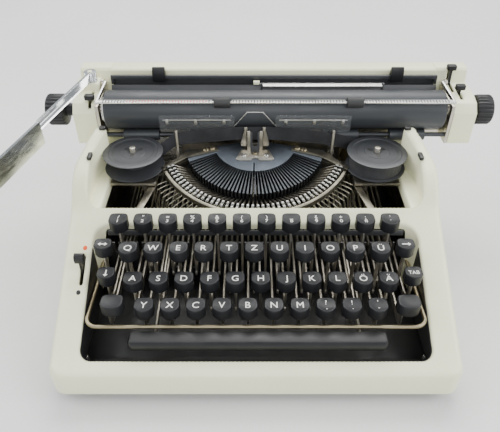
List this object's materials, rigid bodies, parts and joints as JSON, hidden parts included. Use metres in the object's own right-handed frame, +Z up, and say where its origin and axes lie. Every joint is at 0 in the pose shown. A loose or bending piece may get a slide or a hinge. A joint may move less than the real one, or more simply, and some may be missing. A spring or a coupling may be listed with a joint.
{
  "type": "typewriter",
  "caption": "Portable manual typewriter with its ribbon cover off: cream casing, dark keys, open typebar basket, two ribbon spools and a wide sliding carriage.",
  "frame": {"origin": "under the middle of the machine's own box, on the table surface", "axes": "+X to the typist's right along the platen, +Y away from the typist, +Z up"},
  "size_m": [0.395, 0.27, 0.1536],
  "materials": {
    "cream_paint": "satin, finely pebbled",
    "black_paint": "semi-matte",
    "slate_paint": "satin",
    "foot_rubber": "matte",
    "platen_rubber": "smooth, slightly polished by use",
    "bright_steel": "bright, handled",
    "nickel_steel": "nickel plated, slightly yellowed",
    "blued_steel": "ground, blue-grey",
    "brass": "aged",
    "chrome": "polished",
    "key_plastic": "satin moulded plastic with white legends",
    "black_plastic": "glossy",
    "clear_plastic": "clear plastic",
    "ribbon_cloth": "inked cotton"
  },
  "bodies": {
    "frame": {"base_pan": "black_paint", "rubber_feet": "foot_rubber", "casing": "cream_paint", "case_screws": "bright_steel", "chassis": "nickel_steel", "carriage_rail": "bright_steel", "key_lever_axle": "bright_steel", "keyboard_frame": "brass", "spool_brackets": "nickel_steel", "ribbon": "ribbon_cloth", "line_guides": "clear_plastic", "bell": "brass"},
    "type_basket": {"segment": "blued_steel", "segment_screws": "brass", "fulcrum_wire": "bright_steel", "typebars": "nickel_steel", "type_rest": "nickel_steel", "type_guide": "nickel_steel"},
    "centre_typebar": {"centre_typebar": "nickel_steel"},
    "number_row": {"number_caps": "key_plastic", "number_levers": "nickel_steel"},
    "upper_row": {"upper_caps": "key_plastic", "upper_levers": "nickel_steel"},
    "home_row": {"home_caps": "key_plastic", "home_levers": "nickel_steel"},
    "lower_row": {"lower_caps": "key_plastic", "lower_levers": "nickel_steel"},
    "centre_key": {"centre_key": "key_plastic"},
    "space_bar": {"space_bar": "key_plastic"},
    "shift_keys": {"shift_keys": "key_plastic"},
    "shift_lock_key": {"shift_lock_key": "key_plastic"},
    "backspace_key": {"backspace_key": "key_plastic"},
    "tabulator_key": {"tabulator_key": "key_plastic"},
    "margin_release_key": {"margin_release_key": "key_plastic"},
    "ribbon_vibrator": {"ribbon_vibrator": "nickel_steel"},
    "ribbon_selector": {"ribbon_selector": "black_plastic"},
    "left_spool": {"left_spool": "slate_paint"},
    "right_spool": {"right_spool": "slate_paint"},
    "carriage": {"carriage_frame": "nickel_steel", "left_end_cover": "cream_paint", "right_end_cover": "cream_paint", "rear_cover": "cream_paint", "paper_table": "slate_paint", "margin_rail": "bright_steel"},
    "escapement_wheel": {"escapement_wheel": "brass"},
    "spring_drum": {"spring_drum": "bright_steel"},
    "platen": {"platen": "platen_rubber", "platen_shaft": "bright_steel", "left_knob": "black_plastic", "right_knob": "black_plastic"},
    "feed_roller": {"feed_roller": "platen_rubber"},
    "paper_bail": {"paper_bail": "bright_steel"},
    "bail_rollers": {"bail_rollers": "foot_rubber"},
    "paper_support": {"paper_support": "bright_steel"},
    "left_margin_stop": {"left_margin_stop": "black_plastic"},
    "right_margin_stop": {"right_margin_stop": "black_plastic"},
    "return_lever": {"return_lever": "chrome"},
    "line_space_lever": {"line_space_lever": "black_plastic"},
    "paper_release_lever": {"paper_release_lever": "black_plastic"},
    "carriage_release_lever": {"carriage_release_lever": "black_plastic"}
  },
  "joints": [
    {"name": "number_row_press", "type": "hinge", "parent": "frame", "child": "number_row", "pos_m": [-0.013, 0.093, 0.044], "axis": [1, 0, 0], "range_deg": [0, 3.2], "stiffness_Nm_per_rad": 4, "springref_deg": -6.88},
    {"name": "upper_row_press", "type": "hinge", "parent": "frame", "child": "upper_row", "pos_m": [-0.013, 0.093, 0.044], "axis": [1, 0, 0], "range_deg": [0, 3.2], "stiffness_Nm_per_rad": 4, "springref_deg": -6.88},
    {"name": "home_row_press", "type": "hinge", "parent": "frame", "child": "home_row", "pos_m": [-0.013, 0.093, 0.044], "axis": [1, 0, 0], "range_deg": [0, 3.2], "stiffness_Nm_per_rad": 4, "springref_deg": -6.88},
    {"name": "lower_row_press", "type": "hinge", "parent": "frame", "child": "lower_row", "pos_m": [-0.013, 0.093, 0.044], "axis": [1, 0, 0], "range_deg": [0, 3.2], "stiffness_Nm_per_rad": 4, "springref_deg": -6.88},
    {"name": "centre_key_press", "type": "hinge", "parent": "frame", "child": "centre_key", "pos_m": [-0.013, 0.093, 0.044], "axis": [1, 0, 0], "range_deg": [0, 3.2], "stiffness_Nm_per_rad": 0.6, "springref_deg": -6.88},
    {"name": "backspace_key_press", "type": "hinge", "parent": "frame", "child": "backspace_key", "pos_m": [-0.013, 0.093, 0.044], "axis": [1, 0, 0], "range_deg": [0, 3.2], "stiffness_Nm_per_rad": 0.6, "springref_deg": -6.88},
    {"name": "tabulator_key_press", "type": "hinge", "parent": "frame", "child": "tabulator_key", "pos_m": [-0.013, 0.093, 0.044], "axis": [1, 0, 0], "range_deg": [0, 3.2], "stiffness_Nm_per_rad": 0.6, "springref_deg": -6.88},
    {"name": "margin_release_key_press", "type": "hinge", "parent": "frame", "child": "margin_release_key", "pos_m": [-0.013, 0.093, 0.044], "axis": [1, 0, 0], "range_deg": [0, 3.2], "stiffness_Nm_per_rad": 0.6, "springref_deg": -6.88},
    {"name": "shift_lock_key_press", "type": "hinge", "parent": "frame", "child": "shift_lock_key", "pos_m": [-0.013, 0.093, 0.044], "axis": [1, 0, 0], "range_deg": [0, 2.2], "stiffness_Nm_per_rad": 0.6, "springref_deg": -6.88},
    {"name": "space_bar_press", "type": "hinge", "parent": "frame", "child": "space_bar", "pos_m": [-0.013, 0.093, 0.044], "axis": [1, 0, 0], "range_deg": [0, 2.2], "stiffness_Nm_per_rad": 2, "springref_deg": -6.88},
    {"name": "basket_shift", "type": "slide", "parent": "frame", "child": "type_basket", "axis": [0, 0, 1], "range_m": [-0.0065, 0], "stiffness_N_per_m": 1500, "springref_m": 0.008},
    {"name": "shift_keys_press", "type": "hinge", "parent": "frame", "child": "shift_keys", "pos_m": [-0.013, 0.093, 0.044], "axis": [1, 0, 0], "range_deg": [0, 3.3]},
    {"name": "typebar_swing", "type": "hinge", "parent": "type_basket", "child": "centre_typebar", "pos_m": [-0.01384, 0.04128, 0.07688], "axis": [-0.9997, 0.0255, 0.0059], "range_deg": [0, 101.7]},
    {"name": "vibrator_lift", "type": "slide", "parent": "frame", "child": "ribbon_vibrator", "axis": [0, 0, 1], "range_m": [0, 0.0092], "deforming": ["ribbon"]},
    {"name": "ribbon_selector_set", "type": "hinge", "parent": "frame", "child": "ribbon_selector", "pos_m": [-0.146, -0.062, 0.04], "axis": [1, 0, 0], "range_deg": [-12, 12]},
    {"name": "left_spool_spin", "type": "hinge", "parent": "frame", "child": "left_spool", "pos_m": [-0.1185, 0.04, 0.091], "axis": [0, 0, 1], "continuous": true},
    {"name": "right_spool_spin", "type": "hinge", "parent": "frame", "child": "right_spool", "pos_m": [0.0925, 0.04, 0.091], "axis": [0, 0, 1], "continuous": true},
    {"name": "carriage_travel", "type": "slide", "parent": "frame", "child": "carriage", "axis": [1, 0, 0], "range_m": [-0.135, 0.105]},
    {"name": "escapement_spin", "type": "hinge", "parent": "frame", "child": "escapement_wheel", "pos_m": [0.017, 0.115, 0.064], "axis": [0, 1, 0], "continuous": true},
    {"name": "spring_drum_spin", "type": "hinge", "parent": "frame", "child": "spring_drum", "pos_m": [-0.108, 0.115, 0.064], "axis": [0, 1, 0], "continuous": true},
    {"name": "platen_spin", "type": "hinge", "parent": "carriage", "child": "platen", "pos_m": [0.0045, 0.08, 0.125], "axis": [1, 0, 0], "continuous": true},
    {"name": "feed_roller_spin", "type": "hinge", "parent": "carriage", "child": "feed_roller", "pos_m": [0.0045, 0.071, 0.1044], "axis": [1, 0, 0], "continuous": true},
    {"name": "paper_bail_lift", "type": "hinge", "parent": "carriage", "child": "paper_bail", "pos_m": [0.0045, 0.102, 0.14], "axis": [-1, 0, 0], "range_deg": [0, 60]},
    {"name": "bail_rollers_spin", "type": "hinge", "parent": "paper_bail", "child": "bail_rollers", "pos_m": [0.0045, 0.0642, 0.14], "axis": [1, 0, 0], "continuous": true},
    {"name": "paper_support_raise", "type": "hinge", "parent": "carriage", "child": "paper_support", "pos_m": [0.0045, 0.1022, 0.1389], "axis": [-1, 0, 0], "range_deg": [0, 80]},
    {"name": "left_margin_slide", "type": "slide", "parent": "carriage", "child": "left_margin_stop", "axis": [1, 0, 0], "range_m": [-0.035, 0.08]},
    {"name": "right_margin_slide", "type": "slide", "parent": "carriage", "child": "right_margin_stop", "axis": [1, 0, 0], "range_m": [-0.09, 0.028]},
    {"name": "return_lever_swing", "type": "hinge", "parent": "carriage", "child": "return_lever", "pos_m": [-0.161, 0.1, 0.143], "axis": [0, 0, 1], "range_deg": [0, 28], "stiffness_Nm_per_rad": 0.3, "springref_deg": -11.46},
    {"name": "line_space_set", "type": "hinge", "parent": "carriage", "child": "line_space_lever", "pos_m": [-0.1585, 0.0905, 0.112], "axis": [1, 0, 0], "range_deg": [-10, 10]},
    {"name": "paper_release_pull", "type": "hinge", "parent": "carriage", "child": "paper_release_lever", "pos_m": [0.166, 0.106, 0.112], "axis": [1, 0, 0], "range_deg": [0, 20]},
    {"name": "carriage_release_pull", "type": "hinge", "parent": "carriage", "child": "carriage_release_lever", "pos_m": [0.1705, 0.093, 0.112], "axis": [1, 0, 0], "range_deg": [0, 15], "stiffness_Nm_per_rad": 0.1, "springref_deg": -11.46}
  ],
  "couplings": [
    {"joint": "shift_keys_press", "follows": "basket_shift", "rad_per_m": -8.5924},
    {"joint": "typebar_swing", "follows": "centre_key_press", "ratio": 31.719},
    {"joint": "vibrator_lift", "follows": "centre_key_press", "m_per_rad": 0.1611},
    {"joint": "left_spool_spin", "follows": "right_spool_spin", "ratio": 2.4444},
    {"joint": "escapement_spin", "follows": "carriage_travel", "rad_per_m": 71.429},
    {"joint": "spring_drum_spin", "follows": "carriage_travel", "rad_per_m": 52.632},
    {"joint": "feed_roller_spin", "follows": "platen_spin", "ratio": -3.4},
    {"joint": "bail_rollers_spin", "follows": "platen_spin", "ratio": -3.8636}
  ]
}
